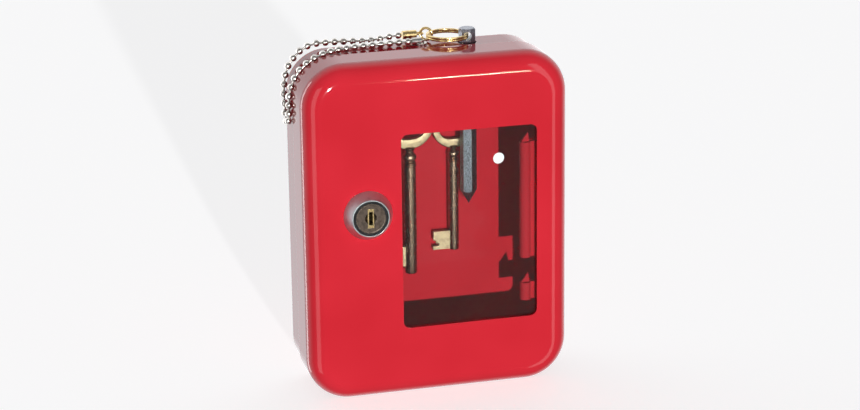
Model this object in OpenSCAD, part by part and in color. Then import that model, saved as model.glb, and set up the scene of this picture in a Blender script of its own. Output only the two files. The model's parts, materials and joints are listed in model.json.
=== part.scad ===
// Emergency key box: a two-pan steel box with a glass window in its door, a cam lock,
// hanging keys, and a steel striker on a ball chain for breaking the glass.
// +X is right, -Y is the front and +Z is up. The origin is the middle of the two wall
// screw holes, on the outer back face. Heights named _z are measured from the box's bottom.

/* [Box] */
// Width of the door, the widest part of the box
door_w = 117; // [112:1:124]
// Height of the door
door_h = 150; // [146:1:156]
// Depth of the whole box
box_d = 42; // [40:0.5:46]
// Depth of the door pan
door_d = 22; // [20:0.5:24]
// Length of the case that the door's rim covers
rim_overlap = 3; // [2:0.5:4]
// Thickness of the steel sheet
sheet_t = 0.8; // [0.6:0.1:1]
// Gap between the door's rim and the case
rim_gap = 0.3; // [0.3:0.05:0.5]
// Corner radius of the door, seen from the front
door_corner_r = 19; // [16:0.5:22]
// Radius of the door's rolled front edge
door_edge_r = 8; // [5:0.5:9]
// Radius of the case's back edge
case_edge_r = 2.5; // [1.5:0.5:4]

/* [Wall holes] */
// Distance between the two wall holes
wall_hole_spacing = 77; // [60:1:84]
// Diameter of the wall holes
wall_hole_d = 5.2; // [4:0.1:6]
// Height of the wall holes above the bottom
wall_hole_z = 92; // [80:1:100]

/* [Window] */
// Left edge of the window, from the middle of the door
window_left = -16.6; // [-18:0.1:-15]
// Right edge of the window
window_right = 43.6; // [42:0.1:44]
// Bottom edge of the window
window_bottom_z = 31.5; // [30:0.5:33]
// Top edge of the window
window_top_z = 118.5; // [117:0.5:119]
// Corner radius of the window
window_corner_r = 3; // [2:0.5:4]
// Thickness of the glass pane
glass_t = 2; // [1.5:0.1:2]

/* [Lock] */
// Lock axis, from the middle of the door
lock_x = -31.6; // [-33:0.1:-31]
// Height of the lock axis
lock_z = 84.5; // [80:0.5:90]
// Diameter of the lock's plug
plug_d = 13; // [11:0.5:13.5]
// Diameter of the lock's threaded barrel
barrel_d = 18.8; // [18:0.1:19]
// Diameter of the escutcheon at the door
escutcheon_d = 21.5; // [21:0.5:24]
// How far the escutcheon stands out of the door
escutcheon_h = 5.5; // [4:0.5:6]
// Length of the cam, from the lock axis
cam_l = 21; // [20:0.5:21.5]

/* [Hinges] */
// Middle height of the lower hinge
lower_hinge_z = 34; // [30:1:40]
// Middle height of the upper hinge
upper_hinge_z = 116; // [110:1:120]
// Length of each hinge
hinge_l = 20; // [16:1:24]
// Outer diameter of the hinge knuckles
knuckle_d = 4; // [3.6:0.1:4.2]
// Diameter of the hinge pins
hinge_pin_d = 2; // [1.6:0.1:2.2]

/* [Keys] */
// Place of the left key, from the middle
left_key_x = -4.7; // [-6:0.1:-4]
// Height of the left key's lowest point
left_key_bottom_z = 45.3; // [44:0.1:48]
// Place of the right key, from the middle
right_key_x = 16.3; // [16:0.1:17]
// Height of the right key's lowest point
right_key_bottom_z = 53; // [52:0.1:56]
// Height of the hooks
hook_z = 119.4; // [119:0.1:120]

/* [Striker] */
// Striker axis, from the middle of the box
striker_x = 21.5; // [21:0.1:22]
// Distance of the striker axis from the back
striker_back = 11; // [11:0.1:12]
// Size of the hexagonal bar, across its corners
striker_d = 7.3; // [6.5:0.1:7.3]
// Height of the striker's tip
striker_tip_z = 75.8; // [74:0.1:80]
// Height of the striker's top
striker_top_z = 155.3; // [155:0.1:157]
// Middle radius of the split ring
split_ring_r = 8.6; // [8.4:0.1:9]

/* [Chain] */
// Diameter of the chain's balls
chain_d = 3.2; // [3:0.1:3.2]

/* [Hidden] */
$fn = 64;

over = 0.5;                                      // how far a cutting tool runs past the face it cuts
red = [0.78, 0.06, 0.09];
steel = [0.72, 0.73, 0.75];
brass = [0.76, 0.62, 0.32];

mid_z = door_h / 2;
door_front = -box_d;
skin_in = door_front + sheet_t;                  // inner face of the door's front sheet
rim_end = door_front + door_d;                   // rear edge of the door's rim
case_w = door_w - 2 * (sheet_t + rim_gap);
case_h = door_h - 2 * (sheet_t + rim_gap);
case_d = box_d - door_d + rim_overlap;
case_corner_r = door_corner_r - sheet_t - rim_gap;
case_top_z = mid_z + case_h / 2;

hinge_x = door_w / 2 + 1.9;
hinge_y = rim_end + 1.4;
knuckle_l = 5;
knuckle_gap = 0.3;
leaf_t = 1.2;
leaf_l = 11;
hinge_running_gap = 0.05;

glass_left = window_left - 2.6;
glass_right = window_right + 2.1;
glass_bottom_z = window_bottom_z - 4;
glass_top_z = window_top_z + 4.5;
glass_back = skin_in + glass_t;

bead_r = 2.4;
bead_x = 39.6;
bead_y = glass_back + bead_r + 0.1;
long_bead_z = [57.4, 109.8];
short_bead_z = [37.9, 45.8];
ear_h = 4.4;
clip_gap = 0.1;                                  // gap between the glass and what holds it
top_clip_x = 13.5;
top_screw_z = glass_top_z + 6;

plug_gap = 0.05;                                 // running clearance of the plug in its housing
keyway = [2.7, 8.4];
housing_back = 20.5;                             // distance of the housing's rear end from the wall
plug_back = 20.3;
stub = 6;                                        // square end of the plug, which drives the cam
cam_t = 1.8;
cam_back = plug_back - cam_t;
cam_gap = 0.7;                                   // room between the turned cam and its catch
lock_face = box_d + escutcheon_h;                // foremost plane of the lock
plug_face = lock_face - 0.1;
washer_t = 1;
wafer_count = 5;
wafer_first = 28;                                // distance of the rearmost wafer from the wall
wafer_pitch = 2.6;
wafer = [5, 11.6, 0.5];

left_key_y = -9;
right_key_y = -4.6;
hook_r = 1.5;
hook_gap = 0.15;                                 // gap between a hanging bow and its hook
bow_t = 2.2;
bow_top_z = hook_z + hook_r + hook_gap;          // inner top of both bows

striker_y = -striker_back;
striker_cone = 6.5;
striker_turn = 37;                               // direction of one of the striker's corners
ring_turn = 170;                                 // direction from the striker to the ring's middle
ring_z = case_top_z + 3.3;
ring_w = 1.4;
ring_h = 2;
ring_pos = [striker_x + split_ring_r * cos(ring_turn), striker_y + split_ring_r * sin(ring_turn), ring_z];
link_r = 2.6;
link_wire = 0.6;
link_turn = 150;                                 // where on the split ring the link hangs
link_pos = ring_pos + [(split_ring_r + 0.9) * cos(link_turn), (split_ring_r + 0.9) * sin(link_turn), 0.1];
eye_r = 1.5;
eye_wire = 0.45;
eye_pos = link_pos + [(link_r + 0.4) * cos(link_turn), (link_r + 0.4) * sin(link_turn), 0];
clasp_r = 1.9;
clasp_gap = 0.25;                                // gap between the chain's last ball and the clasp
guide_gap = 0.35;                                // gap between the striker's corners and its guide

// The chain's route: from its anchor on top of the case, to the left, down the side,
// round a turn and back up along the rear edge to the clasp on the striker's ring.
chain_route = [
  [-3, -9.5, 150.6], [-12, -9.5, 150.6], [-21, -10.5, 150.6], [-29, -11.5, 150.6], [-35, -13.5, 150.6],
  [-40, -15.5, 150.6], [-44.5, -17, 149.8], [-48.5, -17.4, 148.2], [-52.6, -17.4, 145.4],
  [-55.6, -17.5, 142.2], [-57.9, -17.6, 137.8], [-59.2, -17.6, 133], [-59.4, -17.4, 129],
  [-59.4, -16.6, 124.6], [-59.4, -15, 121.4], [-59.4, -12.6, 120], [-59.4, -10.2, 120.9],
  [-59.4, -8.8, 124], [-59.4, -8, 128.4], [-59.3, -6.8, 132.4], [-58.6, -5.4, 137.2], [-56.9, -4.2, 142],
  [-54, -3.6, 146], [-50.2, -3.2, 149.2], [-46, -3, 151], [-40, -2.8, 151.4], [-31, -2.6, 151.2],
  [-22, -2.6, 150.8], [-15, -2.8, 151.2], [-10, -3.1, 152.1], [-5.7, -3.1, 152.1]
];
chain_ring_step = 7.5;                           // most distance between two rings of the chain's tube
chain_sides = 8;

// Places what is inside it, drawn with heights from the box's bottom, in the part's own frame.
module in_box() {
  translate([0, 0, -wall_hole_z]) children();
}

// Draws in a plane parallel to the door: the child's Y becomes up, and its Z comes forward.
module facing(x, y, z) {
  translate([x, y, z]) rotate([90, 0, 0]) children();
}

// Half of a pan's cross-section, with its outer front corner rounded.
module pan_profile(half, depth, edge_r) {
  square([half - edge_r, depth]);
  square([half, depth - edge_r]);
  translate([half - edge_r, depth - edge_r]) circle(edge_r);
}

module full_profile(half, depth, edge_r) {
  pan_profile(half, depth, edge_r);
  mirror([1, 0]) pan_profile(half, depth, edge_r);
}

// A block with round corners and a rolled edge round its face at z = depth.
module pan_block(w, h, depth, corner_r, edge_r) {
  for (side = [-1, 1], end = [-1, 1])
    translate([side * (w / 2 - corner_r), end * (h / 2 - corner_r), 0])
      rotate_extrude() pan_profile(corner_r, depth, edge_r);
  rotate([90, 0, 0]) linear_extrude(h - 2 * corner_r, center = true) full_profile(w / 2, depth, edge_r);
  rotate([90, 0, 90]) linear_extrude(w - 2 * corner_r, center = true) full_profile(h / 2, depth, edge_r);
}

// A sheet-metal pan, open at z = 0.
module pan(w, h, depth, corner_r, edge_r) {
  inner_w = w - 2 * sheet_t;
  inner_h = h - 2 * sheet_t;
  difference() {
    pan_block(w, h, depth, corner_r, edge_r);
    translate([0, 0, -over])
      pan_block(inner_w, inner_h, depth - sheet_t + over, corner_r - sheet_t, edge_r - sheet_t);
  }
}

module tube(outer_r, inner_r, length) {
  difference() {
    cylinder(h = length, r = outer_r);
    translate([0, 0, -over]) cylinder(h = length + 2 * over, r = inner_r);
  }
}

module rounded_rect(w, h, r) {
  translate([r, 0]) square([w - 2 * r, h]);
  translate([0, r]) square([w, h - 2 * r]);
  for (x = [r, w - r], y = [r, h - r]) translate([x, y]) circle(r);
}

// ---- Case -------------------------------------------------------------------------------

module case_shell() {
  color(red) in_box() difference() {
    translate([0, -case_d, mid_z]) rotate([-90, 0, 0])
      pan(case_w, case_h, case_d, case_corner_r, case_edge_r);
    for (side = [-1, 1])
      facing(side * wall_hole_spacing / 2, over, wall_hole_z)
        cylinder(h = sheet_t + 2 * over, d = wall_hole_d);
    translate([striker_x, striker_y, case_top_z - sheet_t - over])
      cylinder(h = sheet_t + 2 * over, r = striker_d / 2 + 0.5);
  }
}

// The two end knuckles on the case, and the leaf that joins them to its side.
module case_leaf(z) {
  color(red) in_box() translate([0, 0, z - hinge_l / 2]) difference() {
    union() {
      translate([case_w / 2, hinge_y, 0]) cube([leaf_t, leaf_l, hinge_l]);
      for (end = [0, hinge_l - knuckle_l])
        translate([hinge_x, hinge_y, end]) cylinder(h = knuckle_l, d = knuckle_d);
    }
    translate([hinge_x, hinge_y, -over]) cylinder(h = hinge_l + 2 * over, d = hinge_pin_d);
    translate([hinge_x, hinge_y, knuckle_l])
      cylinder(h = hinge_l - 2 * knuckle_l, r = knuckle_d / 2 + knuckle_gap);
  }
}

// The middle knuckle on the door, and the leaf that joins it to the door's rim.
module door_leaf(z) {
  knuckle_reach = 0.6;                           // how far the knuckle stands past the leaf
  tall = hinge_l - 2 * (knuckle_l + knuckle_gap);
  color(red) in_box() translate([0, 0, z - hinge_l / 2]) difference() {
    union() {
      translate([door_w / 2, hinge_y - leaf_l, knuckle_l + knuckle_gap])
        cube([leaf_t, leaf_l - knuckle_reach, tall]);
      translate([hinge_x, hinge_y, knuckle_l + knuckle_gap]) cylinder(h = tall, d = knuckle_d);
    }
    translate([hinge_x, hinge_y, -over])
      cylinder(h = hinge_l + 2 * over, r = hinge_pin_d / 2 + hinge_running_gap);
  }
}

module hinge_pin(z) {
  head_t = 0.8;
  head_d = hinge_pin_d + 1;
  color(steel) in_box() translate([hinge_x, hinge_y, z - hinge_l / 2]) {
    cylinder(h = hinge_l, d = hinge_pin_d);
    for (end = [-head_t, hinge_l]) translate([0, 0, end]) cylinder(h = head_t, d = head_d);
  }
}

module upper_hinge_case_leaf() { case_leaf(upper_hinge_z); }

module lower_hinge_case_leaf() { case_leaf(lower_hinge_z); }

module upper_hinge_door_leaf() { door_leaf(upper_hinge_z); }

module lower_hinge_door_leaf() { door_leaf(lower_hinge_z); }

module upper_hinge_pin() { hinge_pin(upper_hinge_z); }

module lower_hinge_pin() { hinge_pin(lower_hinge_z); }

// Angle on the case's left wall that the cam turns in behind.
module lock_catch() {
  wall_x = -case_w / 2 + sheet_t;
  tall = 16;
  reach = 7.6;
  plate_t = 1.6;
  flange = [1.4, 14];
  front = -(plug_back + cam_gap + plate_t);
  color(red) in_box() translate([wall_x, front, lock_z - tall / 2]) {
    cube([reach, plate_t, tall]);
    cube([flange[0], flange[1], tall]);
  }
}

// The strip on the back sheet that both hooks are riveted into.
module hook_plate() {
  left_end = -16;
  plate = [46, 1.2, 10];
  color(red) in_box() difference() {
    translate([left_end, -sheet_t - plate[1], hook_z - plate[2] / 2]) cube(plate);
    for (x = [left_key_x, right_key_x])
      facing(x, -sheet_t + over, hook_z) cylinder(h = plate[1] + 2 * over, r = hook_r);
  }
}

// A wire hook that stands out of the back, with its tip turned up. It holds a key at key_y.
module key_hook(x, key_y) {
  reach = 3.25 - key_y;                          // from the wall to the middle of the turned-up tip
  tip = 4.5;
  color(steel) in_box() {
    facing(x, -sheet_t, hook_z) cylinder(h = reach - sheet_t, r = hook_r);
    translate([x, -reach, hook_z]) {
      sphere(hook_r);
      cylinder(h = tip, r = hook_r);
    }
  }
}

module left_hook() { key_hook(left_key_x, left_key_y); }

module right_hook() { key_hook(right_key_x, right_key_y); }

// The nylon sleeve under the case's top that the striker slides in.
module striker_guide() {
  guide_l = 9;
  wall = 1.05;
  flange_h = 1.5;
  flange_w = 2.65;
  bore_r = striker_d / 2 + guide_gap;
  color([0.15, 0.15, 0.16]) in_box() translate([striker_x, striker_y, case_top_z - sheet_t - guide_l]) {
    tube(bore_r + wall, bore_r, guide_l);
    translate([0, 0, guide_l - flange_h]) tube(bore_r + flange_w, bore_r, flange_h);
  }
}

// A riveted eye on top of the case, with the coupling that holds the chain's first ball.
module chain_anchor() {
  start = chain_route[0];
  coupling_l = 4.2;
  coupling_r = 1.65;
  head_h = 0.9;
  head_r = 2.6;
  post_h = 2.2;
  post_r = 1.5;
  color(steel) in_box() {
    translate([start[0] + coupling_l, start[1], case_top_z]) {
      cylinder(h = head_h, r = head_r);
      cylinder(h = post_h, r = post_r);
    }
    translate(start) rotate([0, 90, 0]) cylinder(h = coupling_l, r = coupling_r);
  }
}

// A tube swept along a route: one ring of points square to the path at each place.
function lerp(a, b, t) = a + (b - a) * t;
function unit(v) = v / norm(v);
function densify(route, step) = [
  for (i = [0 : len(route) - 2])
    let (n = max(1, ceil(norm(route[i + 1] - route[i]) / step)))
      for (k = [0 : n - 1]) lerp(route[i], route[i + 1], k / n),
  route[len(route) - 1]
];
function heading(path, i) = unit(path[min(i + 1, len(path) - 1)] - path[max(i - 1, 0)]);
function side_of(dir) = unit(cross(dir, abs(dir[1]) < 0.9 ? [0, 1, 0] : [1, 0, 0]));
function ring_at(path, i, r, sides) =
  let (dir = heading(path, i), u = side_of(dir), v = cross(dir, u))
    [for (k = [0 : sides - 1]) path[i] + r * (cos(360 * k / sides) * u + sin(360 * k / sides) * v)];

module swept_tube(path, r, sides) {
  last = len(path) - 1;
  polyhedron(
    points = [for (i = [0 : last]) each ring_at(path, i, r, sides)],
    faces = [
      [for (k = [0 : sides - 1]) k],
      [for (k = [0 : sides - 1]) last * sides + sides - 1 - k],
      for (i = [0 : last - 1], k = [0 : sides - 1])
        let (next = (k + 1) % sides)
          [i * sides + k, (i + 1) * sides + k, (i + 1) * sides + next, i * sides + next]
    ]
  );
}

module chain() {
  color(steel) in_box() swept_tube(densify(chain_route, chain_ring_step), chain_d / 2, chain_sides);
}

// ---- Door -------------------------------------------------------------------------------

module door_shell() {
  color(red) in_box() difference() {
    facing(0, rim_end, mid_z) pan(door_w, door_h, door_d, door_corner_r, door_edge_r);
    facing(window_left, skin_in + over, window_bottom_z)
      linear_extrude(sheet_t + 2 * over)
        rounded_rect(window_right - window_left, window_top_z - window_bottom_z, window_corner_r);
    facing(lock_x, skin_in + over, lock_z) cylinder(h = sheet_t + 2 * over, r = barrel_d / 2 + 0.1);
  }
}

module glass_pane() {
  color([0.8, 0.9, 0.9, 0.3]) in_box() facing(glass_left, glass_back, glass_bottom_z)
    cube([glass_right - glass_left, glass_top_z - glass_bottom_z, glass_t]);
}

// A formed strip with a rolled bead that presses on the glass, seen through the window.
module right_glass_rail() {
  web_front = bead_y - sheet_t / 2;
  riser_x = glass_right + 0.3;
  foot_z = [34, 113.5];
  foot_w = 4.3;
  tall = foot_z[1] - foot_z[0];
  ear = [[-0.8, 0], [3.2, 0], [2.4, ear_h]];
  ear_x = bead_x - bead_r / 2;
  sunk = 0.2;                                    // how deep an ear's foot stands in its bead
  color(red) in_box() {
    translate([riser_x, skin_in, foot_z[0]]) cube([foot_w, sheet_t, tall]);
    translate([riser_x, skin_in, foot_z[0]]) cube([sheet_t, web_front + sheet_t - skin_in, tall]);
    for (span = [long_bead_z, short_bead_z]) {
      translate([bead_x, bead_y, span[0]]) tube(bead_r, bead_r - sheet_t, span[1] - span[0]);
      translate([bead_x + bead_r - sheet_t / 2, web_front, span[0]])
        cube([riser_x + over - bead_x - bead_r, sheet_t, span[1] - span[0]]);
      facing(ear_x, bead_y + sheet_t / 2, span[1] - sunk) linear_extrude(sheet_t) polygon(ear);
    }
  }
}

// A spot-welded clip that steps over the glass's left edge.
module left_clip(z) {
  tall = 12;
  foot_w = 7;
  lip = 3;
  step_x = glass_left - 1;
  color(red) in_box() {
    translate([step_x - foot_w, skin_in, z]) cube([foot_w + sheet_t, sheet_t, tall]);
    translate([step_x, skin_in, z]) cube([sheet_t, glass_t + clip_gap + sheet_t, tall]);
    translate([step_x, glass_back + clip_gap, z]) cube([lip, sheet_t, tall]);
  }
}

module upper_left_glass_clip() { left_clip(104); }

module lower_left_glass_clip() { left_clip(40); }

// The channel that the glass stands in. Its rear lip shows just behind the window's sill.
module bottom_glass_channel() {
  wide = 57;
  foot_h = 6;
  floor_z = glass_bottom_z - sheet_t;
  lip_back = glass_back + 3 * clip_gap;
  lip_top_z = window_bottom_z - 0.3;
  color(red) in_box() translate([window_left + 1, 0, 0]) {
    translate([0, skin_in, floor_z - foot_h]) cube([wide, sheet_t, foot_h + sheet_t]);
    translate([0, skin_in, floor_z]) cube([wide, lip_back + sheet_t - skin_in, sheet_t]);
    translate([0, lip_back, floor_z]) cube([wide, sheet_t, lip_top_z - floor_z]);
  }
}

// A screwed clip that steps over the glass's top edge.
module top_glass_clip() {
  wide = 16;
  foot_h = 10;
  lip = 3;
  step_z = glass_top_z + 4 * clip_gap;
  screw_hole_r = 1.6;
  color(red) in_box() difference() {
    translate([top_clip_x - wide / 2, 0, 0]) {
      translate([0, skin_in, step_z]) cube([wide, sheet_t, foot_h]);
      translate([0, skin_in, step_z]) cube([wide, glass_t + clip_gap + sheet_t, sheet_t]);
      translate([0, glass_back + clip_gap, glass_top_z - lip])
        cube([wide, sheet_t, step_z + sheet_t - glass_top_z + lip]);
    }
    facing(top_clip_x, skin_in + sheet_t + over, top_screw_z)
      cylinder(h = sheet_t + 2 * over, r = screw_hole_r);
  }
}

module top_clip_screw() {
  shank_r = 1.5;
  head_r = 2.8;
  head_h = 1.6;
  slot = [0.8, 6, 0.8];
  color(steel) in_box() facing(top_clip_x, skin_in + sheet_t, top_screw_z) {
    cylinder(h = sheet_t, r = shank_r);
    difference() {
      translate([0, 0, -head_h]) cylinder(h = head_h, r = head_r);
      translate([-slot[0] / 2, -slot[1] / 2, -head_h - over]) cube([slot[0], slot[1], slot[2] + over]);
    }
  }
}

// ---- Lock -------------------------------------------------------------------------------
// Each piece is drawn along the lock axis, with Z as its distance in front of the wall.

module on_lock_axis() {
  facing(lock_x, 0, lock_z) children();
}

// The barrel and its chrome escutcheon: a cone that narrows to a thin rim round a sunken ring.
module lock_housing() {
  bore_r = plug_d / 2 + plug_gap;
  barrel_r = barrel_d / 2;
  escutcheon_r = escutcheon_d / 2;
  skirt = 0.5;
  rim_r = 8.2;
  rim_round = 0.2;
  sunken = lock_face - 1.6;
  color(steel) in_box() on_lock_axis() rotate_extrude() polygon([
    [bore_r, housing_back], [barrel_r, housing_back], [barrel_r, box_d], [escutcheon_r, box_d],
    [escutcheon_r, box_d + skirt], [rim_r, lock_face - rim_round], [rim_r - rim_round, lock_face],
    [rim_r - 2 * rim_round, lock_face], [rim_r - 0.5, sunken], [bore_r, sunken]
  ]);
}

module lock_washer() {
  washer_r = 11;
  color(steel) in_box() on_lock_axis() translate([0, 0, box_d - sheet_t - washer_t])
    tube(washer_r, barrel_d / 2 + 0.1, washer_t);
}

module lock_nut() {
  nut_t = 4;
  across_flats = 22;
  thread_gap = 0.02;
  color(steel) in_box() on_lock_axis() translate([0, 0, box_d - sheet_t - washer_t - nut_t]) difference() {
    rotate([0, 0, 30]) cylinder(h = nut_t, d = across_flats / cos(30), $fn = 6);
    translate([0, 0, -over]) cylinder(h = nut_t + 2 * over, r = barrel_d / 2 + thread_gap);
  }
}

module lock_plug() {
  rim = [0.35, 0.2];                             // width and height of the raised rim round the face
  slot_gap = 0.05;
  mouth = 1.2;
  mouth_r = [1.6, 2.9];
  blind_end = 5;                                 // solid metal behind the keyway
  screw_hole = 8;
  color(brass * 0.7) in_box() on_lock_axis() difference() {
    union() {
      translate([0, 0, plug_back]) cylinder(h = plug_face - plug_back - rim[1], d = plug_d);
      translate([0, 0, plug_face - rim[1]]) tube(plug_d / 2, plug_d / 2 - rim[0], rim[1]);
      translate([-stub / 2, -stub / 2, cam_back]) cube([stub, stub, cam_t + over]);
    }
    translate([-keyway[0] / 2, -keyway[1] / 2, plug_back + blind_end])
      cube([keyway[0], keyway[1], plug_face - plug_back]);
    translate([0, 0, plug_face - mouth]) cylinder(h = mouth, r1 = mouth_r[0], r2 = mouth_r[1]);
    for (i = [0 : wafer_count - 1])
      translate([0, 0, wafer_first + (i + 0.1) * wafer_pitch])
        cube([wafer[0] + 2 * slot_gap, wafer[1] + 4 * slot_gap, wafer[2] + 2 * slot_gap], center = true);
    translate([0, 0, cam_back - over]) cylinder(h = screw_hole, r = 1.5);
  }
}

// Thin frame round the keyhole, at the bottom of the plug's dished face.
module keyway_liner() {
  slot = [1.7, 5.8];
  front = plug_face - 0.3;
  deep = 2.7;
  color(brass) in_box() on_lock_axis() translate([0, 0, front - deep / 2]) difference() {
    cube([keyway[0], keyway[1], deep], center = true);
    cube([slot[0], slot[1], deep + 2 * over], center = true);
  }
}

// Five thin plates, cut through for the key at three different heights.
module lock_wafers() {
  cut = [3, 6];
  lowest = -0.4;
  color(brass) in_box() on_lock_axis() for (i = [0 : wafer_count - 1])
    translate([0, 0, wafer_first + (i + 0.1) * wafer_pitch]) difference() {
      cube(wafer, center = true);
      translate([0, lowest + 0.5 * (i % 3), 0]) cube([cut[0], cut[1], wafer[2] + 2 * over], center = true);
    }
}

module lock_cam() {
  boss_r = 7;
  tip_r = 4.5;
  hole = stub + 0.1;
  color(steel) in_box() on_lock_axis() translate([0, 0, cam_back]) difference() {
    union() {
      cylinder(h = cam_t, r = boss_r);
      translate([-tip_r, tip_r - cam_l, 0]) cube([2 * tip_r, cam_l - tip_r, cam_t]);
      translate([0, tip_r - cam_l, 0]) cylinder(h = cam_t, r = tip_r);
    }
    translate([-hole / 2, -hole / 2, -over]) cube([hole, hole, cam_t + 2 * over]);
  }
}

module cam_screw() {
  head_h = 2.2;
  head_r = 4.6;
  recess = [4.8, 1, 1.2];
  color(steel) in_box() on_lock_axis() {
    translate([0, 0, cam_back]) cylinder(h = 6, r = 1.5);
    translate([0, 0, cam_back - head_h]) difference() {
      cylinder(h = head_h, r = head_r);
      for (turn = [0, 90]) rotate([0, 0, turn])
        translate([-recess[0] / 2, -recess[1] / 2, -over]) cube([recess[0], recess[1], recess[2] + over]);
    }
  }
}

// ---- Keys -------------------------------------------------------------------------------
// Each key hangs by its bow, with its shank down and its bit to the left.

// The turned shank and collar under the bow. collar_z is where the collar starts.
module key_shank(bottom_z, collar_z, bow_z, r) {
  rise = bow_z - collar_z;
  translate([0, 0, bottom_z]) cylinder(h = collar_z - bottom_z, r = r);
  translate([0, 0, collar_z]) rotate_extrude() {
    polygon([
      [0, 0], [r, 0], [r * 1.25, rise * 0.08], [r * 1.25, rise * 0.18], [r, rise * 0.26],
      [r * 0.95, rise * 0.34], [r * 1.3, rise * 0.5], [r * 1.3, rise * 0.6], [r * 0.8, rise * 0.76],
      [r * 1.1, rise * 0.9], [r * 1.1, rise], [0, rise]
    ]);
  }
}

module left_key() {
  outer_r = 11;
  band = 3.5;
  r = 2.75;
  collar_z = [94.4, 103.4];                      // where the collar starts and ends
  bow_z = bow_top_z - (outer_r - band);
  color(brass) in_box() translate([left_key_x, left_key_y, 0]) {
    key_shank(left_key_bottom_z, collar_z[0], collar_z[1], r);
    facing(0, bow_t / 2, bow_z) linear_extrude(bow_t) difference() {
      circle(outer_r);
      circle(outer_r - band);
    }
    facing(0, 1, left_key_bottom_z + 3.5) linear_extrude(2)
      polygon([[0, 0], [-11, 0], [-11, 2], [-8.6, 2], [-8.6, 3.4], [-11, 3.4], [-11, 5.4], [-9.2, 5.4],
               [-9.2, 7], [-11, 7], [-11, 9], [0, 9]]);
  }
}

module right_key() {
  outer_r = 9.5;
  band = 3.3;
  stretch = 5.2;
  r = 2.3;
  collar_z = [93.8, 101.2];
  bow_z = bow_top_z - (outer_r - band) - stretch / 2;
  color(brass) in_box() translate([right_key_x, right_key_y, 0]) {
    key_shank(right_key_bottom_z, collar_z[0], collar_z[1], r);
    facing(0, bow_t / 2, bow_z) linear_extrude(bow_t) difference() {
      stadium(outer_r, stretch);
      stadium(outer_r - band, stretch);
    }
    facing(0, 1, right_key_bottom_z + 0.6) linear_extrude(2)
      polygon([[0, 0], [-9.8, 0], [-9.8, 1.6], [-7.2, 1.6], [-7.2, 3], [-8.4, 3], [-8.4, 4.4],
               [-9.6, 4.4], [-9.6, 8.4], [0, 8.4]]);
  }
}

// A circle stretched upwards by a straight part.
module stadium(r, stretch) {
  for (end = [-1, 1]) translate([0, end * stretch / 2]) circle(r);
  square([2 * r, stretch], center = true);
}

// ---- Striker ----------------------------------------------------------------------------

module striker_rod() {
  length = striker_top_z - striker_tip_z;
  corner = striker_d / 2;
  clear = 0.2;                                   // the turning tool stays outside the bar's corners
  bevel = 0.5;
  color(steel) in_box() translate([striker_x, striker_y, striker_tip_z]) difference() {
    intersection() {
      rotate([0, 0, striker_turn]) cylinder(h = length, r = corner, $fn = 6);
      rotate_extrude() polygon([
        [0, 0], [corner + clear, striker_cone * (corner + clear) / corner],
        [corner + clear, length - bevel - clear], [corner - bevel, length], [0, length]
      ]);
    }
    translate([0, 0, ring_z - striker_tip_z]) rotate([0, 0, ring_turn - 90]) rotate([0, 90, 0])
      translate([0, 0, -striker_d]) cylinder(h = 2 * striker_d, r = 1.8);
  }
}

module split_ring() {
  color(brass) in_box() translate(ring_pos - [0, 0, ring_h / 2])
    tube(split_ring_r + ring_w / 2, split_ring_r - ring_w / 2, ring_h);
}

module clasp_link() {
  color(brass) in_box() translate(link_pos) rotate([90, 0, link_turn])
    rotate_extrude() translate([link_r, 0]) circle(link_wire);
}

// The coupling on the chain's last ball, with an eye that the link passes through.
module chain_clasp() {
  finish = chain_route[len(chain_route) - 1];
  color(brass) in_box() {
    translate(finish + [clasp_gap, 0, 0]) rotate([0, 90, 0])
      cylinder(h = eye_pos[0] - eye_r - finish[0] - clasp_gap, r = clasp_r);
    translate(eye_pos) rotate_extrude() translate([eye_r, 0]) circle(eye_wire);
  }
}

case_shell();
upper_hinge_case_leaf();
lower_hinge_case_leaf();
upper_hinge_pin();
lower_hinge_pin();
lock_catch();
hook_plate();
left_hook();
right_hook();
striker_guide();
chain_anchor();
chain();
door_shell();
upper_hinge_door_leaf();
lower_hinge_door_leaf();
glass_pane();
right_glass_rail();
upper_left_glass_clip();
lower_left_glass_clip();
bottom_glass_channel();
top_glass_clip();
top_clip_screw();
lock_housing();
lock_washer();
lock_nut();
lock_plug();
keyway_liner();
lock_wafers();
lock_cam();
cam_screw();
left_key();
right_key();
striker_rod();
split_ring();
clasp_link();
chain_clasp();
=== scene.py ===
import json
import math

import bmesh
import bpy
import numpy as np
from mathutils import Matrix, Vector


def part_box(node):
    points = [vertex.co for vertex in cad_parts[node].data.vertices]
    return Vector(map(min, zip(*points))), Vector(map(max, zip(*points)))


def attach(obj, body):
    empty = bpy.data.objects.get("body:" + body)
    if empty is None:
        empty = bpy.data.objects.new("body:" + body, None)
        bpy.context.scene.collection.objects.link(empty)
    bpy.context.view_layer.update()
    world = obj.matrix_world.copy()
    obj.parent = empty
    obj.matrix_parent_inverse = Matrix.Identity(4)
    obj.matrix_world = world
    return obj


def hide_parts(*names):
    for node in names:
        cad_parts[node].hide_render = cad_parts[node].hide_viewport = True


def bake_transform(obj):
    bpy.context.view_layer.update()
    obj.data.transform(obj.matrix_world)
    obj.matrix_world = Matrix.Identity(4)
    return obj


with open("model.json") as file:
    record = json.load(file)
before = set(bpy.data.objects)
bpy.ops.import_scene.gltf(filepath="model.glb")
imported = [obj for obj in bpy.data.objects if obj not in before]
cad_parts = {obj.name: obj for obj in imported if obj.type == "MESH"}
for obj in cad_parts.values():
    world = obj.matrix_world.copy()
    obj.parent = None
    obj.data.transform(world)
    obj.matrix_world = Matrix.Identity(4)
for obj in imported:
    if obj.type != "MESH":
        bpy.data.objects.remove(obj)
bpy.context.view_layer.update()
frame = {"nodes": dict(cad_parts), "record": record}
nodes = frame["nodes"]
mm = 0.001

bodyOf = {}
for body, names in frame["record"]["behaviour"]["bodies"].items():
    bodyOf.update(dict.fromkeys(names, body))


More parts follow.
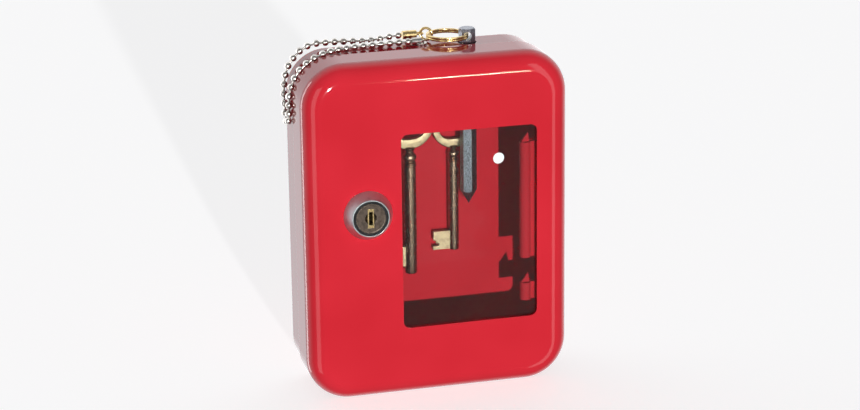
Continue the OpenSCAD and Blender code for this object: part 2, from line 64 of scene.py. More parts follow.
def standFor(piece, node):
    # the piece moves with the node's body and is shown in its place
    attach(piece, bodyOf[node])
    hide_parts(node)


cameraSetup = {
    "place": (-0.2774, -1.0643, 0.3302),
    "turn": 14.957,    # degrees towards the right
    "tilt": -17.603,
    "roll": -0.717,
    "lens": 108.66,
    "clip": (0.02, 20),
}


def makeCamera():
    s = cameraSetup
    data = bpy.data.cameras.new("camera")
    data.lens = s["lens"]
    data.clip_start, data.clip_end = s["clip"]
    camera = bpy.data.objects.new("camera", data)
    bpy.context.collection.objects.link(camera)
    turn, tilt, roll = (math.radians(s[key]) for key in ("turn", "tilt", "roll"))
    camera.matrix_world = (
        Matrix.Translation(s["place"])
        @ Matrix.Rotation(-turn, 4, "Z")
        @ Matrix.Rotation(math.pi / 2 + tilt, 4, "X")
        @ Matrix.Rotation(roll, 4, "Z")
    )
    bpy.context.scene.camera = camera


makeCamera()
print("camera set")


def gridFaces(rows, columns, wrapRows=False):
    # quads of a grid of points: corner (i, j) joins (i+1, j), (i+1, j+1) and (i, j+1), with
    # the last column joined to the first, and the last row too where it wraps
    i = np.arange(rows if wrapRows else rows - 1)[:, None]
    j = np.arange(columns)[None, :]
    i2, j2 = (i + 1) % rows, (j + 1) % columns
    corners = [a * columns + b for a, b in ((i, j), (i2, j), (i2, j2), (i, j2))]
    return np.stack([c.ravel() for c in corners], 1)


def surface(points, wrapRows=False):
    # a grid of points as one shell; its first and last rows are closed by flat caps, or joined
    rows, columns = points.shape[:2]
    faces = gridFaces(rows, columns, wrapRows).tolist()
    if not wrapRows:
        faces.append(list(range(columns)))
        faces.append(list(range(rows * columns - 1, (rows - 1) * columns - 1, -1)))
    return points.reshape(-1, 3), faces


def makePiece(name, shells, material, sharpFrom):
    # one mesh from several shells, with each face turned outwards and edges sharp from an angle
    points, faces, count = [], [], 0
    for shellPoints, shellFaces in shells:
        points.append(shellPoints)
        faces += [[corner + count for corner in face] for face in shellFaces]
        count += len(shellPoints)
    mesh = bpy.data.meshes.new(name)
    mesh.from_pydata(np.concatenate(points), [], faces)
    work = bmesh.new()
    work.from_mesh(mesh)
    bmesh.ops.remove_doubles(work, verts=work.verts, dist=1e-7)
    bmesh.ops.recalc_face_normals(work, faces=work.faces)
    work.to_mesh(mesh)
    work.free()
    mesh.polygons.foreach_set("use_smooth", np.ones(len(mesh.polygons), bool))
    mesh.set_sharp_from_angle(angle=math.radians(sharpFrom))
    mesh.validate()
    piece = bpy.data.objects.new(name, mesh)
    bpy.context.collection.objects.link(piece)
    mesh.materials.append(material)
    return piece


def turned(profile, count=48):
    # surface of revolution: x and y are the radius times the angle's cosine and sine, z is the height
    profile = np.asarray(profile, float)
    angle = np.linspace(0, 2 * math.pi, count, endpoint=False)
    radius, height = profile[:, :1], profile[:, 1:]
    return np.stack([radius * np.cos(angle), radius * np.sin(angle), height + 0 * angle], -1)


def roundBar(halfWidth, halfHeight, corner, steps=3):
    # rectangle with quarter-circle corners: corner centre plus corner radius at each angle
    quarter = np.linspace(0, math.pi / 2, steps + 1)
    angle = np.concatenate([quarter + k * math.pi / 2 for k in range(4)])
    signs = np.repeat([[1, 1], [-1, 1], [-1, -1], [1, -1]], steps + 1, axis=0)
    centre = signs * [halfWidth - corner, halfHeight - corner]
    return centre + corner * np.stack([np.cos(angle), np.sin(angle)], 1)


def swept(path, across, along, section):
    # profile carried along a path: point + x times the across vector + y times the along one
    x, y = section[None, :, :1], section[None, :, 1:]
    return path[:, None] + x * across[:, None] + y * along[:, None]


def smoothRoute(route, steps=12):
    # Catmull-Rom curve: half of 2b + (c - a)t + (2a - 5b + 4c - d)t2 + (3b - a - 3c + d)t3, with
    # a to d the four points round a stretch and t from 0 to 1 along it
    ends = np.concatenate([[2 * route[0] - route[1]], route, [2 * route[-1] - route[-2]]])
    t = np.linspace(0, 1, steps, endpoint=False)[:, None, None]
    a, b, c, d = ends[:-3], ends[1:-2], ends[2:-1], ends[3:]
    square, cube = 2 * a - 5 * b + 4 * c - d, 3 * b - a - 3 * c + d
    curve = 0.5 * (2 * b + (c - a) * t + square * t**2 + cube * t**3)
    return np.concatenate([curve.transpose(1, 0, 2).reshape(-1, 3), route[-1:]])


def lengthsAlong(curve):
    # distance of each point from the start: the running sum of the steps
    return np.concatenate([[0], np.cumsum(np.linalg.norm(np.diff(curve, axis=0), axis=1))])


def atLengths(curve, places):
    # points at given distances along a curve: each axis read off between its neighbours
    along = lengthsAlong(curve)
    return np.stack([np.interp(places, along, curve[:, k]) for k in range(3)], 1)


class Tree:
    # short calls for adding and joining shader nodes in one material or group

    def __init__(self, tree):
        self.tree = tree

    def add(self, kind, settings=None, **inputs):
        node = self.tree.nodes.new(kind)
        for key, value in (settings or {}).items():
            setattr(node, key, value)
        for key, value in inputs.items():
            self.put(node.inputs[key], value)
        return node

    def put(self, socket, value):
        if isinstance(value, bpy.types.NodeSocket):
            self.tree.links.new(value, socket)
        else:
            socket.default_value = value

    def maths(self, operation, a, b, clamp=False):
        node = self.add("ShaderNodeMath", {"operation": operation, "use_clamp": clamp})
        self.put(node.inputs[0], a)
        self.put(node.inputs[1], b)
        return node.outputs[0]

    def mixColour(self, factor, a, b):
        node = self.add("ShaderNodeMix", {"data_type": "RGBA"})
        for index, value in ((0, factor), (6, a), (7, b)):
            self.put(node.inputs[index], value)
        return node.outputs[2]

    def spread(self, value, low, high, toLow=0.0, toHigh=1.0):
        node = self.add("ShaderNodeMapRange", {"clamp": True})
        for index, given in enumerate((value, low, high, toLow, toHigh)):
            self.put(node.inputs[index], given)
        return node.outputs[0]

    def noise(self, place, scale, detail, rough=0.5):
        return self.add("ShaderNodeTexNoise", None, Vector=place, Scale=scale, Detail=detail,
                        Roughness=rough).outputs["Fac"]

    def place(self, scale=None):
        coordinates = self.add("ShaderNodeTexCoord").outputs["Object"]
        if scale is None:
            return coordinates
        return self.add("ShaderNodeMapping", None, Vector=coordinates, Scale=scale).outputs[0]

    def bump(self, height, strength, distance, normal):
        return self.add("ShaderNodeBump", None, Height=height, Strength=strength, Distance=distance,
                        Normal=normal).outputs[0]

    def group(self, made, **inputs):
        node = self.add("ShaderNodeGroup", {"node_tree": made})
        for key, value in inputs.items():
            self.put(node.inputs[key], value)
        return node.outputs


def newGroup(name, inputs, outputs):
    group = bpy.data.node_groups.new(name, "ShaderNodeTree")
    for key, value in inputs.items():
        kind = "NodeSocketColor" if isinstance(value, tuple) else "NodeSocketFloat"
        socket = group.interface.new_socket(key, in_out="INPUT", socket_type=kind)
        socket.default_value = value
    for key, kind in outputs.items():
        group.interface.new_socket(key, in_out="OUTPUT", socket_type=kind)
    tree = Tree(group)
    return group, tree, tree.add("NodeGroupInput").outputs, tree.add("NodeGroupOutput").inputs


def makeOrangePeel():
    # lacquer skin: two sizes of soft noise added up as a height
    group, tree, given, result = newGroup(
        "orangePeel", {"pitch": 900.0, "waves": 60.0}, {"height": "NodeSocketFloat"})
    place = tree.place()
    fine = tree.noise(place, given["pitch"], 1.0)
    broad = tree.noise(place, given["waves"], 2.0)
    tree.put(result["height"], tree.maths("ADD", fine, tree.maths("MULTIPLY", broad, 3.0)))
    return group


def makeEdgeWear():
    # mask of the edges: how far the rounded normal leans away from the true one, broken by noise
    group, tree, given, result = newGroup(
        "edgeWear", {"radius": 0.0004, "breakUp": 700.0, "amount": 1.0},
        {"mask": "NodeSocketFloat", "normal": "NodeSocketVector"})
    rounded = tree.add("ShaderNodeBevel", {"samples": 4}, Radius=given["radius"]).outputs[0]
    true = tree.add("ShaderNodeNewGeometry").outputs["Normal"]
    node = tree.add("ShaderNodeVectorMath", {"operation": "DOT_PRODUCT"})
    tree.put(node.inputs[0], rounded)
    tree.put(node.inputs[1], true)
    lean = tree.spread(node.outputs["Value"], 0.99, 0.80)
    broken = tree.spread(tree.noise(tree.place(), given["breakUp"], 3.0, 0.6), 0.35, 0.62)
    mask = tree.maths("MULTIPLY", tree.maths("MULTIPLY", lean, broken), given["amount"], clamp=True)
    tree.put(result["mask"], mask)
    tree.put(result["normal"], rounded)
    return group


def makeDust():
    # fine specks: high noise where faces look up, low elsewhere
    group, tree, given, result = newGroup(
        "dust", {"scale": 1500.0, "amount": 0.3}, {"mask": "NodeSocketFloat"})
    normal = tree.add("ShaderNodeNewGeometry").outputs["Normal"]
    up = tree.add("ShaderNodeSeparateXYZ", None, Vector=normal).outputs["Z"]
    lying = tree.spread(up, -0.2, 0.9, 0.25, 1.0)
    specks = tree.spread(tree.noise(tree.place(), given["scale"], 4.0, 0.7), 0.56, 0.75)
    mask = tree.maths("MULTIPLY", tree.maths("MULTIPLY", specks, lying), given["amount"], clamp=True)
    tree.put(result["mask"], mask)
    return group


def makeGrain():
    # brushed lines: noise stretched along one axis by the caller's own scales
    group, tree, given, result = newGroup(
        "grain", {"x": 1.0, "y": 1.0, "z": 1.0}, {"value": "NodeSocketFloat"})
    scale = tree.add("ShaderNodeCombineXYZ", None, X=given["x"], Y=given["y"], Z=given["z"]).outputs[0]
    node = tree.add("ShaderNodeVectorMath", {"operation": "MULTIPLY"})
    tree.put(node.inputs[0], tree.place())
    tree.put(node.inputs[1], scale)
    tree.put(result["value"], tree.noise(node.outputs[0], 1.0, 3.0, 0.65))
    return group


def makePatina():
    # tarnish: blotches of two sizes, and a darker tone in them
    group, tree, given, result = newGroup(
        "patina",
        {"clean": (0.8, 0.6, 0.3, 1.0), "dull": (0.2, 0.13, 0.07, 1.0), "scale": 300.0, "cover": 0.5},
        {"colour": "NodeSocketColor", "mask": "NodeSocketFloat"})
    place = tree.place()
    broad = tree.noise(place, given["scale"], 4.0, 0.6)
    fine = tree.noise(place, tree.maths("MULTIPLY", given["scale"], 7.0), 3.0, 0.6)
    blotch = tree.maths("ADD", tree.maths("MULTIPLY", broad, 0.7), tree.maths("MULTIPLY", fine, 0.3))
    edge = tree.maths("SUBTRACT", 1.0, given["cover"])
    mask = tree.spread(tree.maths("SUBTRACT", blotch, tree.maths("MULTIPLY", edge, 0.2)), 0.34, 0.52)
    tree.put(result["mask"], mask)
    tree.put(result["colour"], tree.mixColour(mask, given["clean"], given["dull"]))
    return group


orangePeel, edgeWear, dust, grain, patina = (
    makeOrangePeel(), makeEdgeWear(), makeDust(), makeGrain(), makePatina())
print("shader groups made")


def newMaterial(name):
    material = bpy.data.materials.new(name)
    material.use_nodes = True
    material.node_tree.nodes.clear()
    tree = Tree(material.node_tree)
    shader = tree.add("ShaderNodeBsdfPrincipled")
    out = tree.add("ShaderNodeOutputMaterial")
    tree.put(out.inputs["Surface"], shader.outputs[0])
    return material, tree, shader, out


redPaintSetup = {
    "colour": (0.68, 0.020, 0.036, 1),
    "shade": (0.62, 0.015, 0.028, 1),
    "thinAtEdges": (0.70, 0.04, 0.06, 1),
    "dustColour": (0.62, 0.40, 0.38, 1),
    "dusty": 0.03,
    "rough": (0.05, 0.10),
    "ior": 1.45,
    "peel": 0.10,
}


def makeRedPaint():
    material, tree, shader, _ = newMaterial("redPaint")
    s = redPaintSetup
    place = tree.place()
    tone = tree.spread(tree.noise(place, 22.0, 2.0), 0.35, 0.65)
    colour = tree.mixColour(tone, s["colour"], s["shade"])
    worn = tree.group(edgeWear, radius=0.0003, breakUp=900.0, amount=0.4)
    colour = tree.mixColour(worn["mask"], colour, s["thinAtEdges"])
    specks = tree.group(dust, scale=2600.0, amount=s["dusty"])["mask"]
    colour = tree.mixColour(specks, colour, s["dustColour"])
    tree.put(shader.inputs["Base Color"], colour)
    smear = tree.noise(place, 45.0, 3.0, 0.6)
    rough = tree.spread(smear, 0.3, 0.7, *s["rough"])
    tree.put(shader.inputs["Roughness"], tree.maths("ADD", rough, tree.maths("MULTIPLY", specks, 0.3)))
    shader.inputs["IOR"].default_value = s["ior"]
    height = tree.group(orangePeel, pitch=900.0, waves=90.0)["height"]
    tree.put(shader.inputs["Normal"], tree.bump(height, s["peel"], 0.00002, worn["normal"]))
    return material


glassSetup = {"tint": (0.87, 0.905, 0.89, 1), "ior": 1.5, "smear": (0.0, 0.02)}


def makeGlass():
    # flat sheet glass: lamps shine straight through it, so shadows behind it stay hard
    material, tree, shader, out = newMaterial("windowGlass")
    s = glassSetup
    shader.inputs["Base Color"].default_value = s["tint"]
    shader.inputs["Transmission Weight"].default_value = 1.0
    shader.inputs["IOR"].default_value = s["ior"]
    smear = tree.noise(tree.place(scale=(1, 1, 0.35)), 60.0, 4.0, 0.6)
    tree.put(shader.inputs["Roughness"], tree.spread(smear, 0.52, 0.72, *s["smear"]))
    clear = tree.add("ShaderNodeBsdfTransparent", None, Color=s["tint"])
    shadow = tree.add("ShaderNodeLightPath").outputs["Is Shadow Ray"]
    mix = tree.add("ShaderNodeMixShader")
    tree.put(mix.inputs[0], shadow)
    tree.put(mix.inputs[1], shader.outputs[0])
    tree.put(mix.inputs[2], clear.outputs[0])
    tree.put(out.inputs["Surface"], mix.outputs[0])
    return material


def makeMetal(name, s):
    # bare or plated metal: tarnish over the clean colour, brushed grain, and bright rubbed edges
    material, tree, shader, _ = newMaterial(name)
    stain = tree.group(patina, clean=s["clean"], dull=s["dull"], scale=s["blotch"], cover=s["cover"])
    worn = tree.group(edgeWear, radius=s["edge"], breakUp=1400.0, amount=s["rubbed"])
    lines = tree.group(grain, x=s["grain"][0], y=s["grain"][1], z=s["grain"][2])["value"]
    colour = tree.mixColour(worn["mask"], stain["colour"], s["bare"])
    tree.put(shader.inputs["Base Color"], colour)
    shader.inputs["Metallic"].default_value = 1.0
    rough = tree.spread(lines, 0.25, 0.75, s["rough"] - s["streak"], s["rough"] + s["streak"])
    rough = tree.maths("ADD", rough, tree.maths("MULTIPLY", stain["mask"], s["dullRough"]))
    tree.put(shader.inputs["Roughness"], rough)
    tree.put(shader.inputs["Normal"], tree.bump(lines, s["bump"], 0.00003, worn["normal"]))
    return material


metalSetups = {
    "chrome": {
        "clean": (0.56, 0.65, 0.67, 1), "dull": (0.42, 0.48, 0.50, 1), "bare": (0.95, 0.96, 0.97, 1),
        "blotch": 240.0, "cover": 0.25, "edge": 0.0002, "rubbed": 0.7, "grain": (900.0, 900.0, 900.0),
        "rough": 0.33, "streak": 0.03, "dullRough": 0.03, "bump": 0.04},
    "zincSteel": {
        "clean": (0.36, 0.385, 0.435, 1), "dull": (0.04, 0.046, 0.06, 1), "bare": (0.90, 0.92, 0.95, 1),
        "blotch": 2400.0, "cover": 0.52, "edge": 0.00025, "rubbed": 1.0, "grain": (2600.0, 2600.0, 900.0),
        "rough": 0.29, "streak": 0.10, "dullRough": 0.10, "bump": 0.5},
    "plugBronze": {
        "clean": (0.085, 0.066, 0.054, 1), "dull": (0.03, 0.024, 0.02, 1), "bare": (0.85, 0.70, 0.56, 1),
        "blotch": 900.0, "cover": 0.55, "edge": 0.00030, "rubbed": 1.0, "grain": (2200.0, 300.0, 300.0),
        "rough": 0.34, "streak": 0.07, "dullRough": 0.12, "bump": 0.3},
    "keyBronze": {
        "clean": (0.42, 0.28, 0.20, 1), "dull": (0.33, 0.215, 0.155, 1), "bare": (0.80, 0.62, 0.45, 1),
        "blotch": 260.0, "cover": 0.50, "edge": 0.00006, "rubbed": 0.7, "grain": (2400.0, 2400.0, 400.0),
        "rough": 0.25, "streak": 0.03, "dullRough": 0.02, "bump": 0.02},
    "keyBrass": {
        "clean": (0.32, 0.245, 0.155, 1), "dull": (0.21, 0.145, 0.09, 1), "bare": (0.75, 0.62, 0.42, 1),
        "blotch": 420.0, "cover": 0.40, "edge": 0.0003, "rubbed": 0.9, "grain": (900.0, 900.0, 900.0),
        "rough": 0.42, "streak": 0.08, "dullRough": 0.10, "bump": 0.3},
    "ringBrass": {
        "clean": (0.80, 0.62, 0.30, 1), "dull": (0.40, 0.28, 0.12, 1), "bare": (0.98, 0.86, 0.56, 1),
        "blotch": 500.0, "cover": 0.35, "edge": 0.00025, "rubbed": 0.8, "grain": (1300.0, 1300.0, 1300.0),
        "rough": 0.20, "streak": 0.05, "dullRough": 0.15, "bump": 0.12},
    "chainNickel": {
        "clean": (0.74, 0.72, 0.68, 1), "dull": (0.40, 0.37, 0.33, 1), "bare": (0.93, 0.92, 0.89, 1),
        "blotch": 260.0, "cover": 0.40, "edge": 0.00015, "rubbed": 0.5, "grain": (1800.0, 1800.0, 1800.0),
        "rough": 0.16, "streak": 0.05, "dullRough": 0.14, "bump": 0.10},
}


nylonSetup = {
    "colour": (0.012, 0.012, 0.013, 1),
    "shade": (0.03, 0.03, 0.032, 1),
    "rough": (0.42, 0.6),
    "shine": 0.1,
}


def makeNylon():
    material, tree, shader, _ = newMaterial("blackNylon")
    s = nylonSetup
    place = tree.place()
    tone = tree.spread(tree.noise(place, 400.0, 3.0), 0.3, 0.7)
    tree.put(shader.inputs["Base Color"], tree.mixColour(tone, s["colour"], s["shade"]))
    fine = tree.noise(place, 2600.0, 2.0)
    tree.put(shader.inputs["Roughness"], tree.spread(fine, 0.3, 0.7, *s["rough"]))
    shader.inputs["Specular IOR Level"].default_value = s["shine"]
    worn = tree.group(edgeWear, radius=0.0002, breakUp=900.0, amount=0.3)
    tree.put(shader.inputs["Normal"], tree.bump(fine, 0.3, 0.00003, worn["normal"]))
    return material


redPaint, windowGlass, blackNylon = makeRedPaint(), makeGlass(), makeNylon()
chrome, zincSteel, plugBronze, keyBronze, keyBrass, ringBrass, chainNickel = (
    makeMetal(name, setup) for name, setup in metalSetups.items())
slotMaterials = {
    "red_paint": redPaint, "glass": windowGlass, "chrome": chrome, "zinc_steel": zincSteel,
    "plug_bronze": plugBronze, "brass": ringBrass, "nickel": chainNickel, "black_nylon": blackNylon}
slotOf = {row["node"]: row["material_slot"] for row in frame["record"]["subparts"]}
for name, node in nodes.items():
    for slot in node.material_slots:
        slot.material = slotMaterials[slotOf[name]]
nodes["glass_pane"].visible_diffuse = False    # soft light passes it freely, as shadow rays do
print("materials made:", len(slotMaterials))

chainSetup = {
    "ball": 3.2 * mm,
    "hole": 1.24 * mm,
    "pitch": 4.05 * mm,
    "pin": 0.95 * mm,
    "length": 0.161,
    "slackFrom": 0.45,    # share of the chain that would stay put if the striker were pulled
}
# the chain's centre, from its anchor on top of the case over the left edge, round the low turn
# and back up to its clasp
chainRoute = np.array([
    (-0.0030, -0.0095, 0.0586), (-0.0120, -0.0095, 0.0586), (-0.0210, -0.0105, 0.0586),
    (-0.0290, -0.0115, 0.0586), (-0.0350, -0.0135, 0.0586), (-0.0400, -0.0155, 0.0586),
    (-0.0445, -0.0170, 0.0578), (-0.0485, -0.0174, 0.0562), (-0.0526, -0.0174, 0.0534),
    (-0.0556, -0.0175, 0.0502), (-0.0579, -0.0176, 0.0458), (-0.0592, -0.0176, 0.0410),
    (-0.0594, -0.0174, 0.0370), (-0.0594, -0.0166, 0.0326), (-0.0594, -0.0150, 0.0294),
    (-0.0594, -0.0126, 0.0280), (-0.0594, -0.0102, 0.0289), (-0.0594, -0.0088, 0.0320),
    (-0.0594, -0.0080, 0.0364), (-0.0593, -0.0068, 0.0404), (-0.0586, -0.0054, 0.0452),
    (-0.0569, -0.0042, 0.0500), (-0.0540, -0.0036, 0.0540), (-0.0502, -0.0032, 0.0572),
    (-0.0460, -0.0030, 0.0590), (-0.0400, -0.0028, 0.0594), (-0.0310, -0.0026, 0.0592),
    (-0.0220, -0.0026, 0.0588), (-0.0150, -0.0028, 0.0592), (-0.0100, -0.0031, 0.0601),
    (-0.0057, -0.0031, 0.0601)])


def chainBall(radius, holeRadius):
    # hollow ball: an arc from hole to hole, with each rim rolled inwards, turned round X
    start = math.asin(holeRadius / radius)
    arc = np.linspace(start, math.pi - start, 13)
    x, r = -radius * np.cos(arc), radius * np.sin(arc)
    inwards, narrower = np.array([0.72, 0.95]), holeRadius * np.array([0.72, 0.8])
    x = np.concatenate([x[0] * inwards, x, x[-1] * inwards[::-1]])
    r = np.concatenate([narrower, r, narrower[::-1]])
    return turned(np.stack([r, x], 1), 18)[..., [2, 0, 1]]


def makeChain():
    # equal steps along the smooth route: a ball at each, and a pin from each ball to the next
    s = chainSetup
    curve = smoothRoute(chainRoute)
    total = lengthsAlong(curve)[-1]
    count = round((total - s["ball"]) / s["pitch"])
    places = s["ball"] / 2 + np.linspace(0, total - s["ball"], count + 1)
    centres = atLengths(curve, places)
    ahead = np.gradient(centres, axis=0)
    ahead /= np.linalg.norm(ahead, axis=1, keepdims=True)
    side = np.cross(ahead, [0.3, 1.0, 0.2])    # a direction that the chain never runs in
    side /= np.linalg.norm(side, axis=1, keepdims=True)
    turn = np.stack([ahead, side, np.cross(ahead, side)], 1)    # rows are each ball's own axes
    ball = chainBall(s["ball"] / 2, s["hole"] / 2)
    balls = centres[:, None, None] + ball[None] @ turn[:, None]
    pin = turned([(s["pin"] / 2, 0), (s["pin"] / 2, 1)], 10)[..., [2, 0, 1]]
    step = np.diff(centres, axis=0)
    gap = np.linalg.norm(step, axis=1)
    pinTurn = np.stack([step, side[:-1], np.cross(step / gap[:, None], side[:-1])], 1)
    pins = centres[:-1, None, None] + pin[None] @ pinTurn[:, None]
    shells = [surface(shell) for shell in balls] + [surface(shell) for shell in pins]
    piece = makePiece("ball_chain", shells, chainNickel, 40)
    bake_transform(piece)
    points = np.zeros(len(piece.data.vertices) * 3)
    piece.data.vertices.foreach_get("co", points)
    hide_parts("chain")
    print("chain:", count + 1, "balls, %.4f m" % total)


makeChain()

# turned collar: radius as a share of the shank's, and height as a share of the collar's
collarShape = [
    (0.95, 0.02), (1.08, 0.05), (1.12, 0.09), (1.05, 0.13), (0.93, 0.15), (1.04, 0.18), (1.08, 0.21),
    (1.00, 0.25), (0.85, 0.28), (0.92, 0.33), (1.08, 0.40), (1.14, 0.48), (1.10, 0.57), (0.95, 0.65),
    (0.76, 0.71), (0.68, 0.76), (0.76, 0.83), (0.90, 0.90), (0.95, 0.96), (0.70, 1.02), (0.02, 1.04)]
# a bit is an outline in millimetres, from the shank's axis and the bit's lower edge
keySetups = {
    "left_key": {
        "shank": 2.75 * mm, "collar": (49.1 * mm, 58.1 * mm), "bow": 11.0 * mm, "band": 3.5 * mm,
        "stretch": 0.0, "bowUp": 68.25 * mm, "bitUp": 3.5 * mm,
        "bit": [(0, 0), (-11, 0), (-11, 2), (-8.6, 2), (-8.6, 3.4), (-11, 3.4), (-11, 5.4), (-9.2, 5.4),
                (-9.2, 7), (-11, 7), (-11, 9), (0, 9)]},
    "right_key": {
        "shank": 2.3 * mm, "collar": (40.8 * mm, 48.2 * mm), "bow": 9.5 * mm, "band": 3.3 * mm,
        "stretch": 5.2 * mm, "bowUp": 59.25 * mm, "bitUp": 0.6 * mm,
        "bit": [(0, 0), (-9.8, 0), (-9.8, 1.6), (-7.2, 1.6), (-7.2, 3), (-8.4, 3), (-8.4, 4.4),
                (-9.6, 4.4), (-9.6, 8.4), (0, 8.4)]},
}


def notchedPlate(outline, low, high):
    # flat plate: the outline in X and Z, once at each of two Y places, with walls between
    outline = np.asarray(outline, float)
    count = len(outline)
    points = [np.stack([outline[:, 0], np.full(count, y), outline[:, 1]], 1) for y in (low, high)]
    faces = [list(range(count)), list(range(2 * count - 1, count - 1, -1))]
    faces += gridFaces(2, count).tolist()
    return np.concatenate(points), faces


flatSetup = {"bowHalf": 1.1 * mm, "bowCorner": 0.45 * mm, "swell": 0.28, "thin": 0.10, "bitHalf": 1 * mm}


def bowBand(s):
    # rounded band round a circle whose halves are moved apart up and down: its width swells by the
    # fourth power of the downward share of the radius and thins by the square of the sideways one,
    # with the outer edge kept on the circle
    angle = np.linspace(0, 2 * math.pi, 96, endpoint=False)
    out = np.stack([np.cos(angle), 0 * angle, np.sin(angle)], 1)
    swell = 1 + flatSetup["swell"] * np.clip(-out[:, 2], 0, 1) ** 4 - flatSetup["thin"] * out[:, 0] ** 2
    middleLine = out * (s["bow"] - s["band"] * swell / 2)[:, None]
    middleLine[:, 2] += np.sign(out[:, 2]) * s["stretch"] / 2
    section = roundBar(s["band"] / 2, flatSetup["bowHalf"], flatSetup["bowCorner"])
    along = np.tile([0.0, 1.0, 0.0], (len(angle), 1))
    return swept(middleLine, out * swell[:, None], along, section)


def makeKey(name):
    # a rounded foot, the plain rod and the collar turned round the shank's axis; bow and bit flat
    s = keySetups[name]
    low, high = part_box(name)
    place = np.array([high.x - s["bow"], (low.y + high.y) / 2, low.z])
    start, end = s["collar"]
    radius = s["shank"]
    tip = 0.0002 * mm    # closed, but for a flat too small to see
    rod = [(tip, 0), (0.8 * radius, 0), (0.95 * radius, 0.3 * mm), (radius, 1 * mm), (radius, start)]
    rod += [(share * radius, start + up * (end - start)) for share, up in collarShape]
    shank = surface(turned(rod) + place)
    bow = surface(bowBand(s) + place + [0, 0, s["bowUp"]], wrapRows=True)
    points, faces = notchedPlate(np.array(s["bit"]) * mm, -flatSetup["bitHalf"], flatSetup["bitHalf"])
    bit = points + place + [0, 0, s["bitUp"]], faces
    for part, shells, material in (("shank", [shank], keyBronze), ("bow_and_bit", [bow, bit], keyBrass)):
        piece = makePiece(name + "_" + part, shells, material, 30)
        standFor(piece, name)
    print(name, "made")


for keyName in keySetups:
    makeKey(keyName)

ringSetup = {
    "halfWidth": 0.66 * mm,
    "halfHeight": 0.48 * mm,
    "corner": 0.3 * mm,
    "inset": 0.7 * mm,     # wire's centre, inside the ring's edge
    "gap": 5.0,            # degrees between the wire's ends
    "start": 0.6,          # place of the first end, in radians
    "crossing": (0.88, 0.2),    # turns wound before the step up, and turns that it takes
}


def makeSplitRing():
    # flat wire wound twice round: radius times cosine and sine of the angle, at a height that goes
    # from the lower turn to the upper one by an S-curve, 3 t squared less 2 t cubed
    s = ringSetup
    low, high = (np.array(corner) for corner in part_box("split_ring"))
    centre, radius = (low + high) / 2, (high[0] - low[0]) / 2 - s["inset"]
    lift = (high[2] - low[2]) / 2 - s["halfHeight"]
    turns = np.linspace(0, 2 - s["gap"] / 360, 190)
    step = np.clip((turns - s["crossing"][0]) / s["crossing"][1], 0, 1)
    height = lift * (2 * step * step * (3 - 2 * step) - 1)
    angle = 2 * math.pi * turns + s["start"]
    out = np.stack([np.cos(angle), np.sin(angle), 0 * angle], 1)
    path = centre + radius * out + height[:, None] * np.array([0, 0, 1.0])
    up = np.tile([0.0, 0.0, 1.0], (len(turns), 1))
    wire = swept(path, out, up, roundBar(s["halfWidth"], s["halfHeight"], s["corner"]))
    piece = makePiece("split_ring_wire", [surface(wire)], ringBrass, 40)
    standFor(piece, "split_ring")
    print("split ring wound")


makeSplitRing()

gapShadeSetup = {"inner": 6.62 * mm, "outer": 7.62 * mm, "sunk": 1.45 * mm, "thick": 1.0 * mm}


def makeGapShadeRing():
    # black ring in the gap round the plug, painted shade for the dark gap: a square outline turned round
    # the lock's axis
    s = gapShadeSetup
    low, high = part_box("lock_plug")
    x, z = (low.x + high.x) / 2, (low.z + high.z) / 2
    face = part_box("lock_housing")[0].y + s["sunk"]
    profile = [(s["inner"], 0), (s["inner"], -s["thick"]), (s["outer"], -s["thick"]), (s["outer"], 0)]
    ring = turned(profile, 64)[..., [0, 2, 1]] + [x, face, z]
    # painted shade: this black ring darkens the gap between the plug and the housing
    piece = makePiece("lock_gap_painted_shade", [surface(ring, wrapRows=True)], blackNylon, 35)
    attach(piece, "door")
    print("gap shade ring set")


makeGapShadeRing()

studioSetup = {
    "floor": (0.90, 0.90, 0.91, 1),
    "floorGlow": 0.68,
    "floorHalf": 40.0,
    "skyColour": (0.98, 0.98, 1.0, 1),
    "frontSky": (0.24, 0.03),          # glow of the room in front, mirrored and as soft light
    "backSky": (1.35, 0.55),           # the same for the room behind
    "mirrorEdge": (-0.10, 0.40),       # where front turns to back, as a share of the way back
    "softEdge": (-0.05, 0.60),
    "key": 3.35,                       # main light, nearly straight from the front
    "keyFrom": (-0.030, -0.998, 0.060),
    "keyWidth": 1.0,                   # degrees across
    "lamp": 0.42,                      # small warm lamp that draws the streaks on the paint
    "lampPlace": (0.177, -0.62, -0.015),
    "lampSize": (0.085, 0.022),
    "lampColour": (1.0, 0.93, 0.68),
    "cardColour": (1, 0.97, 0.98, 1),
    "cardAway": 2.0,
    "cardUpright": (-1.5, 1.1),        # heights of a board's foot and top
    "cards": [                         # bright boards: direction in degrees, width, glow
        {"turn": -44, "wide": 24, "glow": 1.8},
        {"turn": 29, "wide": 16, "glow": 2.0},
        {"turn": -133, "wide": 13, "glow": 6.0}],
}


def flatPlane(name, corners, material):
    mesh = bpy.data.meshes.new(name)
    mesh.from_pydata(corners, [], [(0, 1, 2, 3)])
    mesh.materials.append(material)
    plane = bpy.data.objects.new(name, mesh)
    bpy.context.collection.objects.link(plane)
    return plane


def makeFloor():
    s = studioSetup
    material, _, shader, _ = newMaterial("paleFloor")
    shader.inputs["Base Color"].default_value = s["floor"]
    shader.inputs["Roughness"].default_value = 0.9
    shader.inputs["Specular IOR Level"].default_value = 0.0
    shader.inputs["Emission Color"].default_value = (1, 1, 1, 1)
    shader.inputs["Emission Strength"].default_value = s["floorGlow"]
    drop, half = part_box("door_shell")[0].z, s["floorHalf"]
    corners = [(-half, -half, drop), (half, -half, drop), (half, half, drop), (-half, half, drop)]
    floor = flatPlane("floor", corners, material)
    floor.visible_diffuse = floor.visible_glossy = floor.visible_transmission = False


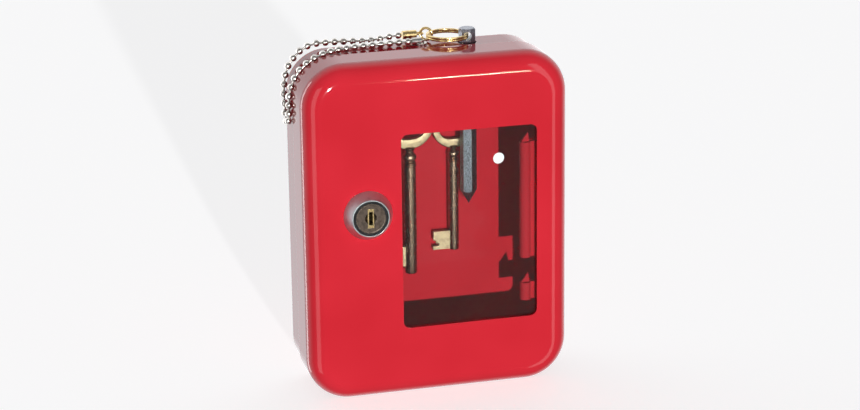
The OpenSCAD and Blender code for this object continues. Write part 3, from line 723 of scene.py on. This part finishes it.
def makeCard(number, card):
    # upright board on a circle round the box, seen only in reflections
    s = studioSetup
    material, _, shader, _ = newMaterial("card%d" % number)
    shader.inputs["Base Color"].default_value = (0, 0, 0, 1)
    shader.inputs["Emission Color"].default_value = s["cardColour"]
    shader.inputs["Emission Strength"].default_value = card["glow"]
    away, (low, high) = s["cardAway"], s["cardUpright"]
    ends = [math.radians(card["turn"] + side * card["wide"] / 2) for side in (-1, 1)]
    foot = [(away * math.sin(a), -away * math.cos(a)) for a in ends]
    corners = [(*foot[0], low), (*foot[1], low), (*foot[1], high), (*foot[0], high)]
    board = flatPlane("card%d" % number, corners, material)
    board.visible_camera = board.visible_diffuse = board.visible_shadow = False
    board.visible_transmission = False


def makeSky():
    # bright behind the box and dim in front of it, and dimmer as soft light than in reflections
    s = studioSetup
    world = bpy.data.worlds.new("studio")
    world.use_nodes = True
    tree = Tree(world.node_tree)
    towards = tree.add("ShaderNodeTexCoord").outputs["Generated"]
    behind = tree.add("ShaderNodeSeparateXYZ", None, Vector=towards).outputs["Y"]
    front, back = s["frontSky"], s["backSky"]
    mirrored = tree.spread(behind, *s["mirrorEdge"], front[0], back[0])
    soft = tree.spread(behind, *s["softEdge"], front[1], back[1])
    isSoft = tree.spread(tree.add("ShaderNodeLightPath").outputs["Diffuse Depth"], 0.0, 1.0)
    glow = tree.add("ShaderNodeMix", {"data_type": "FLOAT"})
    for index, value in ((0, isSoft), (2, mirrored), (3, soft)):
        tree.put(glow.inputs[index], value)
    background = world.node_tree.nodes["Background"]
    background.inputs["Color"].default_value = s["skyColour"]
    tree.put(background.inputs["Strength"], glow.outputs[0])
    bpy.context.scene.world = world


def makeLight(name, kind, energy, direction, place=(0, 0, 0)):
    data = bpy.data.lights.new(name, kind)
    data.energy = energy
    light = bpy.data.objects.new(name, data)
    light.location = place
    light.rotation_euler = Vector(direction).to_track_quat("Z", "Y").to_euler()
    light.visible_transmission = False     # the glass lets its shadow rays through already
    bpy.context.collection.objects.link(light)
    return light


def makeStudio():
    s = studioSetup
    makeFloor()
    makeSky()
    for number, card in enumerate(s["cards"]):
        makeCard(number, card)
    key = makeLight("key", "SUN", s["key"], s["keyFrom"])
    key.data.angle = math.radians(s["keyWidth"])
    lamp = makeLight("lamp", "AREA", s["lamp"], s["lampPlace"], s["lampPlace"])
    lamp.data.shape = "RECTANGLE"
    lamp.data.size, lamp.data.size_y = s["lampSize"]
    lamp.data.color = s["lampColour"]
    lamp.visible_diffuse = False
    bpy.context.scene.view_settings.view_transform = "Standard"


makeStudio()
print("studio lit")

print("scene done")
